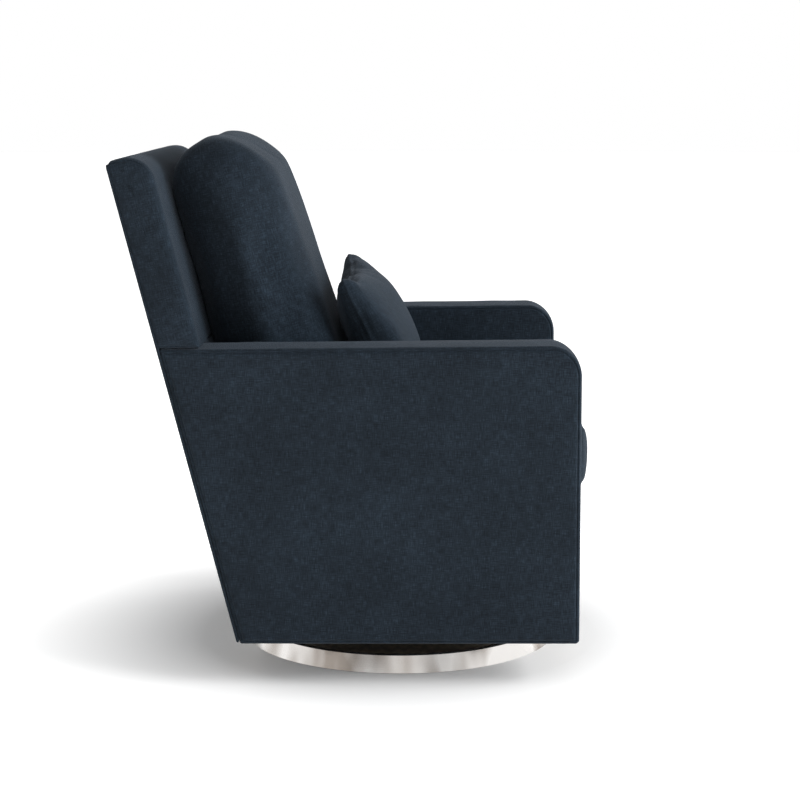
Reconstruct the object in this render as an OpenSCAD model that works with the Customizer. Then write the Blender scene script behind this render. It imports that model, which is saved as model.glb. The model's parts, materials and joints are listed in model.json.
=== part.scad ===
// Upholstered swivel glider chair, in millimetres.
// X is the width, the sitter faces -Y and +Z is up.
// The origin is on the floor, under the swivel's axis.
// "right" and "left" are the sitter's, so right is -X.

/* [Overall] */
// Width over the arms
chair_w = 790; // [760:1:830]
// Height of the body's underside above the floor
body_z = 80; // [80:1:95]
// Height of the arm top at its front corner
arm_z = 641; // [615:1:650]
// Distance from the swivel's axis forward to the arm fronts
front_y = 335; // [325:1:345]

/* [Arms] */
// Thickness of one arm
arm_w = 110; // [100:1:125]
// Radius of the arm's top front corner
arm_corner_r = 58; // [40:1:70]
// Fall of the arm top towards the back, per millimetre
arm_fall = 0.01; // [0:0.005:0.02]
// Foam and fabric over the arm's wooden frame
arm_padding = 10; // [8:1:14]

/* [Back] */
// Lean of the back from upright, in degrees
rake = 14.5; // [12:0.5:16]
// Distance from the swivel's axis back to the body's lower rear edge
rear_y = 304; // [300:1:310]
// Thickness of the back, square to its face
back_t = 80; // [80:1:95]
// Length of the back's rear face, along its slope
back_l = 928; // [900:1:950]
// Radius of the back's top front edge
back_top_r = 52; // [40:1:56]
// Foam and fabric over the back's wooden frame
back_padding = 14; // [12:1:16]
// Thickness of the outside back panel
panel_t = 6; // [5:1:6]

/* [Seat and cushions] */
// Height of the deck that the seat cushion lies on
deck_z = 341; // [338:1:344]
// Height of the seat cushion's top
seat_z = 484; // [474:1:490]
// Distance from the swivel's axis forward to the cushion's front
seat_front_y = 367; // [355:1:372]
// Clearance all round a loose cushion
loose_gap = 0.5; // [0.4:0.1:1]
// Thickness of cushion cover cloth and its wadding
cover_t = 4; // [3:1:6]
// Width of the back cushion
back_cushion_w = 560; // [540:2:566]
// Thickness of the back cushion at its edges
back_cushion_t = 218; // [200:1:220]
// Extra thickness at the middle of the back cushion's front
back_cushion_crown = 15; // [10:1:18]
// Height of the back cushion's top, along the back's slope
back_cushion_l = 924; // [900:1:930]
// How much thinner the back cushion is at its shoulder
back_cushion_taper = 18; // [10:1:24]

/* [Lumbar pillow] */
// Width of the pillow
pillow_w = 505; // [480:1:520]
// Height of the pillow along its own plane
pillow_l = 284; // [270:1:288]
// Lean of the pillow from upright, in degrees
pillow_lean = 25; // [23:1:27]
// Bulge of the pillow's front face
pillow_front_t = 82; // [70:1:90]
// Bulge of the pillow's rear face
pillow_rear_t = 58; // [50:1:60]

/* [Base] */
// Radius of the base band at the floor
band_r = 315; // [305:1:320]
// Radius of the base band at its top edge
band_top_r = 304; // [300:1:306]
// Height of the base band
band_h = 34.5; // [34.5:0.5:35]
// Wall thickness of the band
band_t = 1.5; // [1.2:0.1:2]

/* [Glide mechanism] */
// Length of a glide link between its pivots
link_l = 120; // [110:1:122]
// Height of the upper pivots
pivot_z = 220; // [218:1:224]
// Distance of the pivots fore and aft of the swivel's axis
pivot_y = 110; // [100:1:112]
// Radius of a pivot bolt
pivot_r = 6; // [5:0.5:6]
// Running clearance round a pivot bolt
pivot_fit = 0.05; // [0.02:0.01:0.1]

/* [Hidden] */

cloth = "#262d35";
timber = "#c9a878";
plywood = "#d8bd90";
steel = "#8d9094";
bright_steel = "#c8c8c6";
black = "#202022";
foam = "#e8e0b8";

round_fn = 96;
small_fn = 32;
inner_x = chair_w / 2 - arm_w; // inner face of an arm
outer_x = chair_w / 2;

// ---------- outlines ----------

// Points on an arc about (cx, cy), from angle a0 to a1
function arc(cx, cy, r, a0, a1, steps) =
    [for (i = [0:steps]) let (a = a0 + (a1 - a0) * i / steps) [cx + r * cos(a), cy + r * sin(a)]];

// The rear face is one sloping plane; this is its Y at a height, set in by t
function rear_at(z, t) = rear_y + (z - body_z) * tan(rake) - t / cos(rake);

// The arm's side view as [y, z] points, set in by t all round and clear of the outside back panel
arm_bend_y = -front_y + arm_corner_r;
function arm_rear_top_z(t) =
    (arm_z - t - arm_fall * (rear_at(body_z, t + panel_t) - body_z * tan(rake) - arm_bend_y))
    / (1 + arm_fall * tan(rake));
function arm_outline(t) = concat(
    [[rear_at(body_z + t, t + panel_t), body_z + t]],
    [[-front_y + t, body_z + t]],
    arc(arm_bend_y, arm_z - arm_corner_r, arm_corner_r - t, 180, 90, 10),
    [[rear_at(arm_rear_top_z(t), t + panel_t), arm_rear_top_z(t)]]
);

// The back's own frame: Y square to the rear face, positive to the rear, Z up the slope
module on_back() {
    translate([0, rear_y, body_z]) rotate([-rake, 0, 0]) children();
}
// Height along the slope of a level plane, at depth y in the back's frame
function level(z, y) = (z - body_z + y * sin(rake)) / cos(rake);
// The same for the arm's sloping top
function arm_top_level(y) =
    (arm_z - body_z + y * sin(rake) - arm_fall * (rear_y + y * cos(rake) - arm_bend_y))
    / (cos(rake) + arm_fall * sin(rake));

// The padded back's side view in that frame, above the two points of its lower edge
function back_outline(bottom) = concat(
    bottom,
    arc(-back_t + back_top_r, back_l - back_top_r, back_top_r, 180, 90, 10),
    [[-panel_t, back_l]]
);

// Extrudes a [y, z] outline along X between two planes
module across(x0, x1, points) {
    translate([x0, 0, 0]) rotate([90, 0, 90]) linear_extrude(x1 - x0) polygon(points);
}
// A bar along X
module bar_x(x0, x1, y, z, r, fn = small_fn) {
    translate([x0, y, z]) rotate([0, 90, 0]) cylinder(h = x1 - x0, r = r, $fn = fn);
}
// A box between two corners
module box(a, b) {
    translate(a) cube(b - a);
}
// The same shape for the right (-X) or, mirrored, for the left
module side(left) {
    mirror([left ? 1 : 0, 0, 0]) children();
}

// ---------- base ----------

pad_t = 2;
disc_top = 33;
race_t = 5;
race_r = 120;
ball_r = 4;
ball_ring_r = 100;
ball_count = 24;
ball_z = disc_top + 6.5;
groove_r = ball_r + 0.25;
upper_race_z = disc_top + 8;
plate_z = upper_race_z + race_t;
plate_t = 4;
king_r = 10;

module floor_pad() {
    color(black) cylinder(h = pad_t, r = band_top_r - 6, $fn = round_fn);
}

module base_band() {
    lip = 6;
    color(bright_steel) rotate_extrude($fn = round_fn) polygon([
        [band_r, 1],
        [band_top_r + band_t, band_h - band_t],
        [band_top_r, band_h],
        [band_top_r - lip, band_h],
        [band_top_r - lip, disc_top],
        [band_top_r - band_t, disc_top],
        [band_r - band_t, 1]
    ]);
}

module base_disc() {
    color("#2b2724") difference() {
        translate([0, 0, pad_t]) cylinder(h = disc_top - pad_t, r = band_top_r - 3, $fn = round_fn);
        cylinder(h = disc_top + 1, r = king_r + 0.1, $fn = small_fn);
        translate([0, 0, pad_t - 1]) cylinder(h = 11.1, r = king_r + 9, $fn = small_fn);
        race_screw_places() cylinder(h = 16.1, r = 2.6, $fn = small_fn);
    }
}

module race_screw_places() {
    for (i = [0:5]) rotate([0, 0, 60 * i]) translate([70, 0, disc_top - 16]) children();
}

module ball_groove() {
    translate([0, 0, ball_z]) rotate_extrude($fn = round_fn)
        translate([ball_ring_r, 0]) circle(r = groove_r, $fn = small_fn);
}

module lower_race() {
    color(steel) difference() {
        translate([0, 0, disc_top]) cylinder(h = race_t, r = race_r, $fn = round_fn);
        ball_groove();
        cylinder(h = 60, r = king_r + 0.1, $fn = small_fn);
        race_screw_places() cylinder(h = 30, r = 2.6, $fn = small_fn);
    }
}

module ball_places() {
    for (i = [0:ball_count - 1]) rotate([0, 0, 360 / ball_count * i])
        translate([ball_ring_r, 0, ball_z]) children();
}

module bearing_balls() {
    color(bright_steel) ball_places() sphere(r = ball_r, $fn = 24);
}

module ball_cage() {
    cage_t = 1.8;
    color("#4a4a4c") difference() {
        translate([0, 0, ball_z - cage_t / 2]) difference() {
            cylinder(h = cage_t, r = ball_ring_r + 8, $fn = round_fn);
            translate([0, 0, -1]) cylinder(h = cage_t + 2, r = ball_ring_r - 8, $fn = round_fn);
        }
        ball_places() cylinder(h = 10, r = ball_r + 0.1, center = true, $fn = 24);
    }
}

module king_bolt() {
    color(steel) {
        translate([0, 0, pad_t + 1]) cylinder(h = 9, r = king_r + 6, $fn = 6);
        translate([0, 0, pad_t + 9.9]) cylinder(h = plate_z - 2.9, r = king_r, $fn = small_fn);
        translate([0, 0, plate_z + plate_t + 0.2]) cylinder(h = 6, r = king_r + 7, $fn = small_fn);
    }
}

module race_screws() {
    color(steel) race_screw_places() {
        cylinder(h = 16 + race_t, r = 2.5, $fn = small_fn);
        translate([0, 0, 16 + race_t]) cylinder(h = 2.2, r = 5, $fn = small_fn);
    }
}

// ---------- swivelling frame ----------

hanger_x = 136;
hanger_t = 5;
link_x = 146;
link_t = 6;
rail_x = 156;
rail_t = 4;
foot_w = 36;
stop_y = pivot_y + 44.5;
stop_z = pivot_z - 60;
tube_y = 60;
plate_bolt_y = 140;

module upper_race() {
    color(steel) difference() {
        translate([0, 0, upper_race_z]) cylinder(h = race_t, r = race_r, $fn = round_fn);
        ball_groove();
        cylinder(h = 80, r = king_r + 0.05, $fn = small_fn);
    }
}

module plate_bolt_places() {
    for (x = [-1, 1]) for (y = [-1, 1])
        translate([x * (hanger_x - foot_w / 2), y * plate_bolt_y, plate_z]) children();
}

module mechanism_plate() {
    half_x = hanger_x + hanger_t;
    color(steel) difference() {
        box([-half_x, -170, plate_z], [half_x, 170, plate_z + plate_t]);
        cylinder(h = 80, r = king_r + 0.1, $fn = small_fn);
        plate_bolt_places() translate([0, 0, -1]) cylinder(h = 20, r = 4.1, $fn = small_fn);
    }
}

module plate_bolts() {
    color(steel) plate_bolt_places() {
        translate([0, 0, -3]) cylinder(h = 3, r = 7, $fn = small_fn);
        cylinder(h = plate_t + hanger_t, r = 4, $fn = small_fn);
        translate([0, 0, plate_t + hanger_t]) cylinder(h = 5, r = 8, $fn = 6);
    }
}

// One hanger: an upright plate with a foot, pierced for the pivots, the tubes and the stops
module hanger(left) {
    z0 = plate_z + plate_t;
    color("#5b5e62") side(left) difference() {
        union() {
            across(-hanger_x - hanger_t, -hanger_x, [
                [-170, z0], [170, z0], [175, stop_z + 12], [130, pivot_z + 18],
                [-130, pivot_z + 18], [-175, stop_z + 12]
            ]);
            box([-hanger_x, -170, z0], [-hanger_x + foot_w, 170, z0 + hanger_t]);
        }
        for (y = [-pivot_y, pivot_y]) bar_x(-160, -120, y, pivot_z, pivot_r + 0.1);
        for (y = [-tube_y, tube_y]) bar_x(-160, -120, y, pivot_z, 11.1);
        for (y = [-stop_y, stop_y]) bar_x(-160, -120, y, stop_z, 4.1);
        bar_x(-160, -120, 0, 125, 32);
        plate_bolt_places() cylinder(h = 20, r = 4.1, $fn = small_fn);
    }
}
module hanger_right() { hanger(false); }
module hanger_left() { hanger(true); }

module hanger_tubes() {
    half = hanger_x + hanger_t;
    color("#5b5e62") for (y = [-tube_y, tube_y]) difference() {
        bar_x(-half, half, y, pivot_z, 11);
        bar_x(-half - 1, half + 1, y, pivot_z, 9);
    }
}

// A shouldered bolt through one hanger, carrying a link outside it
module upper_pivot_bolts() {
    color(bright_steel) for (left = [false, true]) side(left) for (y = [-pivot_y, pivot_y]) {
        bar_x(-hanger_x, -hanger_x + 6, y, pivot_z, 10, 6);
        bar_x(-link_x - link_t - 1, -hanger_x, y, pivot_z, pivot_r);
        bar_x(-link_x + 0.4, -hanger_x - hanger_t, y, pivot_z, 9);
        bar_x(-link_x - link_t - 3.5, -link_x - link_t - 0.4, y, pivot_z, 9);
    }
}

// Rubber sleeves on studs, which the links meet at the ends of the glide
module stop_bumpers() {
    color(black) for (left = [false, true]) side(left) for (y = [-stop_y, stop_y]) {
        bar_x(-hanger_x - hanger_t, -hanger_x + 2, y, stop_z, 4);
        bar_x(-link_x - link_t, -hanger_x - hanger_t, y, stop_z, 6);
    }
}

// ---------- glide links ----------

bearing_r = 11;
link_half_w = 15;

module link(left, y) {
    x0 = -link_x - link_t;
    color("#74777b") side(left) difference() {
        union() {
            bar_x(x0, -link_x, y, pivot_z, link_half_w);
            bar_x(x0, -link_x, y, pivot_z - link_l, link_half_w);
            box([x0, y - link_half_w, pivot_z - link_l], [-link_x, y + link_half_w, pivot_z]);
        }
        for (z = [pivot_z, pivot_z - link_l]) bar_x(x0 - 1, -link_x + 1, y, z, bearing_r);
    }
}
module link_front_right() { link(false, -pivot_y); }
module link_front_left() { link(true, -pivot_y); }
module link_rear_right() { link(false, pivot_y); }
module link_rear_left() { link(true, pivot_y); }

module link_bearings(y) {
    x0 = -link_x - link_t;
    color(bright_steel) for (left = [false, true]) side(left) for (z = [pivot_z, pivot_z - link_l])
        difference() {
            bar_x(x0, -link_x, y, z, bearing_r);
            bar_x(x0 - 1, -link_x + 1, y, z, pivot_r + pivot_fit);
        }
}
module front_link_bearings() { link_bearings(-pivot_y); }
module rear_link_bearings() { link_bearings(pivot_y); }

// ---------- chair: glide rails ----------

board_t = 25;
rail_front = -front_y + 12 + board_t; // rear face of the front rail
rail_rear = 250; // front face of the rear rail
low_z = pivot_z - link_l;
rail_bolt_z = [low_z - 6, low_z + 11];

module rail_bolt_places() {
    for (z = rail_bolt_z) translate([-rail_x - 26, 0, z]) children();
}

// An angle bar from the front rail to the rear rail, with an end plate at each end
module glide_rail(left) {
    z0 = low_z - 16;
    z1 = low_z + 24;
    color("#5b5e62") side(left) difference() {
        union() {
            box([-rail_x - rail_t, rail_front, z0], [-rail_x, rail_rear, z1]);
            box([-rail_x - 30, rail_front, z1 - rail_t], [-rail_x, rail_rear, z1]);
            box([-rail_x - 40, rail_front, z0], [-rail_x, rail_front + rail_t, z1]);
            box([-rail_x - 40, rail_rear - rail_t, z0], [-rail_x, rail_rear, z1]);
        }
        for (y = [-pivot_y, pivot_y]) bar_x(-rail_x - 20, -rail_x + 5, y, low_z, pivot_r + 0.1);
        rail_bolt_places() rotate([90, 0, 0]) cylinder(h = 900, r = 4.1, center = true, $fn = small_fn);
    }
}
module glide_rail_right() { glide_rail(false); }
module glide_rail_left() { glide_rail(true); }

module lower_pivot_bolts() {
    color(bright_steel) for (left = [false, true]) side(left) for (y = [-pivot_y, pivot_y]) {
        bar_x(-rail_x - rail_t - 5, -rail_x - rail_t, y, low_z, 10, 6);
        bar_x(-rail_x - rail_t, -link_x + 1, y, low_z, pivot_r);
        bar_x(-rail_x, -link_x - link_t - 0.4, y, low_z, 9);
        bar_x(-link_x + 0.4, -link_x + 3, y, low_z, 9);
    }
}

module rail_bolts() {
    color(steel) for (left = [false, true]) side(left) rail_bolt_places() {
        translate([0, rail_front, 0]) rotate([90, 0, 0]) cylinder(h = 18, r = 4, $fn = small_fn);
        translate([0, rail_front + rail_t + 5, 0]) rotate([90, 0, 0]) cylinder(h = 5, r = 6.5, $fn = 6);
        translate([0, rail_front + rail_t, 0]) rotate([90, 0, 0]) cylinder(h = rail_t, r = 4, $fn = small_fn);
        translate([0, rail_rear + 18, 0]) rotate([90, 0, 0]) cylinder(h = 18 + rail_t, r = 4, $fn = small_fn);
        translate([0, rail_rear - rail_t, 0]) rotate([90, 0, 0]) cylinder(h = 5, r = 6.5, $fn = 6);
    }
}

// ---------- chair: seat frame ----------

rail_top_z = deck_z - 23;
apron_t = 12;
side_rail_h = 45;
arm_bolt_y = [-240, 190];
arm_bolt_z = [body_z + 24, rail_top_z - 24];

module front_rail() {
    color(plywood) difference() {
        box([-inner_x, -front_y + apron_t, body_z + 2], [inner_x, rail_front, rail_top_z]);
        rail_bolt_holes();
    }
}
module rear_rail() {
    color(plywood) difference() {
        box([-inner_x, rail_rear, body_z + 2], [inner_x, rail_rear + board_t, rail_top_z]);
        rail_bolt_holes();
        post_notches();
    }
}
module rail_bolt_holes() {
    for (left = [false, true]) side(left) rail_bolt_places() {
        translate([0, rail_front + 1, 0]) rotate([90, 0, 0]) cylinder(h = 19.1, r = 4.1, $fn = small_fn);
        translate([0, rail_rear + 18.1, 0]) rotate([90, 0, 0]) cylinder(h = 19.1, r = 4.1, $fn = small_fn);
    }
}

module arm_bolt_places() {
    for (y = arm_bolt_y) for (z = arm_bolt_z) translate([0, y, z]) children();
}
module arm_bolt_holes() {
    for (left = [false, true]) side(left) arm_bolt_places()
        bar_x(-inner_x - arm_padding - 50.1, -inner_x + board_t + 1, 0, 0, 4.1);
}
module arm_bolts() {
    color(steel) for (left = [false, true]) side(left) arm_bolt_places() {
        bar_x(-inner_x - arm_padding - 50, -inner_x + board_t, 0, 0, 4);
        bar_x(-inner_x + board_t, -inner_x + board_t + 5, 0, 0, 8);
    }
}

module side_rails(z0, z1) {
    color(timber) for (left = [false, true]) side(left) difference() {
        box([-inner_x, rail_front, z0], [-inner_x + board_t, rail_rear, z1]);
        arm_bolt_holes();
    }
}
module lower_side_rails() { side_rails(body_z + 2, body_z + 2 + side_rail_h); }
module upper_side_rails() { side_rails(rail_top_z - side_rail_h, rail_top_z); }

// Three-cornered glue blocks in the seat box
module corner_blocks() {
    leg = 45;
    x = inner_x - board_t;
    color(timber) for (left = [false, true]) side(left) translate([0, 0, body_z + 2]) {
        linear_extrude(40) polygon([
            [-x, rail_front], [-x + leg, rail_front], [-x, rail_front + leg]
        ]);
        linear_extrude(40) polygon([
            [-x, rail_rear], [-x, rail_rear - leg], [-x + leg, rail_rear]
        ]);
    }
}

// ---------- chair: springs and deck ----------

spring_count = 5;
spring_pitch = 96;
wire_t = 4;
loop_pitch = 26;
loop_half_w = 24;
spring_y0 = -front_y + apron_t + 8;
spring_loops = floor((rail_rear + board_t - 8 - spring_y0) / loop_pitch);

// Centre line of a sinuous spring: straight cross bars joined by half circles, as [x, y] points
function spring_line(offset) = [
    for (i = [0:spring_loops - 1])
        let (s = i % 2 == 0 ? 1 : -1, r = loop_pitch / 2, cy = spring_y0 + (i + 0.5) * loop_pitch)
        for (k = [0:6])
            let (a = -90 + 30 * k, rr = r + s * offset)
            [s * (loop_half_w - r) + s * rr * cos(a), cy + rr * sin(a)]
];

module spring_clips() {
    color(steel) for (i = [0:spring_count - 1]) translate([(i - 2) * spring_pitch, 0, rail_top_z]) {
        box([-14, spring_y0 - 7, 0], [14, spring_y0 - wire_t / 2 - 0.1, 8]);
        box([-14, spring_y0 + spring_loops * loop_pitch + wire_t / 2 + 0.1, 0],
            [14, spring_y0 + spring_loops * loop_pitch + 7, 8]);
    }
}

module seat_springs() {
    color(steel) for (i = [0:spring_count - 1])
        translate([(i - 2) * spring_pitch, 0, rail_top_z])
            linear_extrude(wire_t) polygon(let (inner = spring_line(-wire_t / 2)) concat(
                spring_line(wire_t / 2),
                [for (j = [len(inner) - 1:-1:0]) inner[j]]
            ));
}

module seat_deck() {
    color(black) box([-inner_x, -front_y + apron_t, rail_top_z + 8],
        [inner_x, rear_at(rail_top_z, back_t) - 2, deck_z]);
}

// Cambric stapled under the seat box, open in the middle for the mechanism
module dust_cover() {
    open_x = 205;
    open_y = 240;
    y0 = rail_front - 20;
    y1 = rail_rear + 20;
    z1 = body_z + 1.6;
    color("#18181a") {
        for (left = [false, true]) side(left) box([-inner_x, y0, body_z], [-open_x, y1, z1]);
        box([-open_x + 1, y0, body_z], [open_x - 1, -open_y, z1]);
        box([-open_x + 1, open_y, body_z], [open_x - 1, y1, z1]);
    }
}

// ---------- chair: arms ----------

arm_rail_w = 38;

// Plywood box frame inside an arm, with a middle rail that the seat box bolts to
module arm_frame(left) {
    t = arm_padding;
    mid_z = rail_top_z - side_rail_h;
    color(plywood) side(left) difference() {
        union() {
            difference() {
                across(-outer_x + t, -inner_x - t, arm_outline(t));
                across(-outer_x, -inner_x, arm_outline(t + arm_rail_w));
            }
            across(-outer_x + t, -inner_x - t, [
                [-front_y + t + arm_rail_w - 1, mid_z], [rear_at(mid_z, t + arm_rail_w + panel_t) + 1, mid_z],
                [rear_at(mid_z + 40, t + arm_rail_w + panel_t) + 1, mid_z + 40],
                [-front_y + t + arm_rail_w - 1, mid_z + 40]
            ]);
        }
        arm_bolt_holes();
    }
}
module arm_frame_right() { arm_frame(false); }
module arm_frame_left() { arm_frame(true); }

module arm_cover(left) {
    color(cloth) side(left) difference() {
        across(-outer_x, -inner_x, arm_outline(0));
        across(-outer_x + arm_padding, -inner_x - arm_padding, arm_outline(arm_padding));
        arm_bolt_places() bar_x(-inner_x - arm_padding - 1, -inner_x + 1, 0, 0, 4.1);
    }
}
module arm_cover_right() { arm_cover(false); }
module arm_cover_left() { arm_cover(true); }

module front_apron() {
    r = 10;
    color(cloth) across(-inner_x, inner_x, concat(
        [[-front_y + apron_t, body_z], [-front_y, body_z]],
        arc(-front_y + r, deck_z - r, r, 180, 90, 6),
        [[-front_y + apron_t, deck_z]]
    ));
}

// ---------- chair: back ----------

cavity_y = -back_t + back_padding; // front of the back's hollow
post_t = back_t - panel_t - back_padding - 6;
post_w = 40;
back_rail_h = 45;
top_rail_z = back_l - 42;
lumbar_z = 440;

// Notches where the posts stand through the rear rail
module post_notches() {
    for (left = [false, true]) side(left) on_back()
        box([-inner_x - 1, -panel_t - post_t - 0.1, -40], [-inner_x + post_w + 0.1, 0, back_l]);
}

// Main posts, cut flush with the rear rail's front face at their feet
module back_posts() {
    foot = body_z + 2;
    color(timber) for (left = [false, true]) side(left) difference() {
        on_back() across(-inner_x, -inner_x + post_w, [
            [-panel_t, level(foot, -panel_t)],
            [-panel_t, top_rail_z - back_rail_h],
            [-panel_t - post_t, top_rail_z - back_rail_h],
            [-panel_t - post_t, level(foot, -panel_t - post_t)]
        ]);
        box([-inner_x - 1, 0, 0], [-inner_x + post_w + 1, rail_rear, deck_z]);
    }
}

// Short posts that carry the back's outer edges above the arms
module wing_posts() {
    x = outer_x - back_padding;
    color(timber) for (left = [false, true]) side(left) on_back()
        across(-x, -x + post_w, [
            [-panel_t, arm_top_level(-panel_t) + 1],
            [-panel_t, top_rail_z - back_rail_h],
            [-panel_t - post_t, top_rail_z - back_rail_h],
            [-panel_t - post_t, arm_top_level(-panel_t - post_t) + 1]
        ]);
}

module back_top_rail() {
    x = outer_x - back_padding;
    color(timber) on_back()
        box([-x, -panel_t - post_t, top_rail_z - back_rail_h], [x, -panel_t, top_rail_z]);
}

module lumbar_rail() {
    x = inner_x - post_w;
    color(timber) on_back() box([-x, -panel_t - 25, lumbar_z], [x, -panel_t, lumbar_z + 60]);
}

// Elastic straps stapled across the fronts of the posts
module back_webbing() {
    y = -panel_t - post_t;
    color("#8a6f4e") on_back() for (i = [0:3])
        box([-inner_x + 2, y - 2, 330 + 130 * i], [inner_x - 2, y, 390 + 130 * i]);
}

// Padded cover over the front, top and sides of the back, open at the rear
module back_cover() {
    hollow_y = cavity_y - 1;
    color(cloth) on_back() difference() {
        union() {
            across(-outer_x, outer_x, back_outline([
                [-panel_t, arm_top_level(-panel_t)], [-back_t, arm_top_level(-back_t)]
            ]));
            across(-inner_x, inner_x, back_outline([
                [-panel_t, level(deck_z, -panel_t)], [-back_t, level(deck_z, -back_t)]
            ]));
        }
        intersection() {
            x = outer_x - back_padding;
            across(-x, x, [
                [0, 0], [0, back_l - back_padding],
                [-back_t + back_top_r, back_l - back_padding],
                [cavity_y + 11, back_l - back_padding - 11],
                [cavity_y, back_l - back_top_r], [cavity_y, 0]
            ]);
            union() {
                across(-inner_x, inner_x, [
                    [0, level(deck_z, 0) - 1], [0, back_l], [hollow_y, back_l],
                    [hollow_y, level(deck_z, hollow_y) - 1]
                ]);
                across(-outer_x, outer_x, [
                    [0, arm_top_level(0) + 1], [0, back_l], [hollow_y, back_l],
                    [hollow_y, arm_top_level(hollow_y) + 1]
                ]);
            }
        }
    }
}

module outside_back_panel() {
    color(cloth) on_back() across(-outer_x, outer_x, [
        [-panel_t, level(body_z, -panel_t)], [0, 0], [0, back_l - 4], [-4, back_l],
        [-panel_t, back_l]
    ]);
}

// ---------- cushions ----------

cushion_x = inner_x - loose_gap;
seat_rear_y = 280;
seat_corner_r = 28;

// The seat cushion's side view, set in by t
function seat_outline(t) =
    let (r = seat_corner_r - t, y = -seat_front_y + seat_corner_r,
         z0 = deck_z + loose_gap + t, z1 = seat_z - t)
    concat(
        [[seat_rear_y - t, z0]],
        arc(y, z0 + r, r, 270, 180, 6),
        arc(y, z1 - r, r, 180, 90, 6),
        [[seat_rear_y - t, z1]]
    );

module seat_cushion_foam() {
    color(foam) across(-cushion_x + cover_t, cushion_x - cover_t, seat_outline(cover_t));
}
module seat_cushion_cover() {
    color(cloth) difference() {
        across(-cushion_x, cushion_x, seat_outline(0));
        across(-cushion_x + cover_t, cushion_x - cover_t, seat_outline(cover_t));
    }
}
module seat_cushion_zip() {
    z = (deck_z + seat_z) / 2;
    color(black) box([-240, seat_rear_y, z - 6], [240, seat_rear_y + 1.5, z + 6]);
}

// The back cushion's side view in the back's frame, set in by t
cushion_back = -back_t - 0.5;
cushion_shoulder_r = 110;
cushion_rear_r = 57;
function cushion_front(i, n, t) =
    cushion_back - back_cushion_t + t - back_cushion_crown * sin(180 * i / n)
        + back_cushion_taper * pow(i / n, 2);
function back_cushion_outline(t) =
    let (foot = level(seat_z + loose_gap, cushion_back - back_cushion_t),
         low = foot + 55, high = back_cushion_l - cushion_shoulder_r,
         r = 40, toe_y = cushion_back - back_cushion_t + r)
    concat(
        [[cushion_back - t, level(seat_z + loose_gap, cushion_back - t) + t / cos(rake)]],
        arc(toe_y, level(seat_z + loose_gap, toe_y) + r / cos(rake), r - t, 270 + rake, 188, 5),
        [for (i = [0:8]) [cushion_front(i, 8, t), low + (high - low) * i / 8]],
        arc(cushion_back - back_cushion_t + back_cushion_taper + cushion_shoulder_r, high,
            cushion_shoulder_r - t, 168, 96, 9),
        arc(cushion_back - cushion_rear_r, back_cushion_l - cushion_rear_r, cushion_rear_r - t, 90, 0, 6)
    );

module back_cushion_foam() {
    x = back_cushion_w / 2 - cover_t;
    color(foam) on_back() across(-x, x, back_cushion_outline(cover_t));
}
module back_cushion_cover() {
    x = back_cushion_w / 2;
    color(cloth) on_back() difference() {
        across(-x, x, back_cushion_outline(0));
        across(-x + cover_t, x - cover_t, back_cushion_outline(cover_t));
    }
}
module back_cushion_zip() {
    x = 220;
    z = level(seat_z + loose_gap, cushion_back) + 60;
    color(black) on_back() box([-x, cushion_back, z - 6], [x, -back_t, z + 6]);
}

// The pillow's own frame: origin at the middle of its lower edge, Z up its plane, -Y its front
pillow_foot_y = -12;
module on_pillow() {
    translate([0, pillow_foot_y, seat_z + 2.5]) rotate([-pillow_lean, 0, 0]) children();
}
// A knife-edged pillow, set in by t
module pillow_body(t) {
    x = pillow_w / 2 - t;
    hull() {
        box([-x, -2, t], [x, 2, pillow_l - t]);
        translate([0, 0, pillow_l / 2]) for (s = [-1, 1]) translate([s * (x - 130), 0, 0])
            bulge_block(90 - t, pillow_front_t - t, pillow_rear_t - t, 62 - t);
    }
}
// A rounded block: the hull of two bars along X, one for the front bulge and one for the rear
module bulge_block(half_x, front, rear, half_z) {
    for (z = [-half_z, half_z]) {
        translate([0, -front + 26, z * 0.7]) rotate([0, 90, 0])
            cylinder(h = half_x * 2, r = 26, center = true, $fn = 24);
        translate([0, rear - 26, z * 0.7]) rotate([0, 90, 0])
            cylinder(h = half_x * 2, r = 26, center = true, $fn = 24);
    }
}

module lumbar_pillow_fill() {
    color("white") on_pillow() pillow_body(cover_t);
}
module lumbar_pillow_cover() {
    color(cloth) on_pillow() difference() {
        pillow_body(0);
        pillow_body(cover_t);
    }
}
module lumbar_pillow_zip() {
    color(black) on_pillow() box([-150, -3, -0.8], [150, 3, 0]);
}

floor_pad();
base_band();
base_disc();
lower_race();
bearing_balls();
ball_cage();
king_bolt();
race_screws();
upper_race();
mechanism_plate();
hanger_right();
hanger_left();
hanger_tubes();
upper_pivot_bolts();
plate_bolts();
stop_bumpers();
link_front_right();
link_front_left();
link_rear_right();
link_rear_left();
front_link_bearings();
rear_link_bearings();
glide_rail_right();
glide_rail_left();
lower_pivot_bolts();
rail_bolts();
front_rail();
rear_rail();
lower_side_rails();
upper_side_rails();
corner_blocks();
arm_bolts();
arm_frame_right();
arm_frame_left();
back_posts();
wing_posts();
back_top_rail();
lumbar_rail();
back_webbing();
seat_springs();
spring_clips();
seat_deck();
dust_cover();
arm_cover_right();
arm_cover_left();
front_apron();
back_cover();
outside_back_panel();
back_cushion_foam();
back_cushion_cover();
back_cushion_zip();
seat_cushion_foam();
seat_cushion_cover();
seat_cushion_zip();
lumbar_pillow_fill();
lumbar_pillow_cover();
lumbar_pillow_zip();
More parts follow.
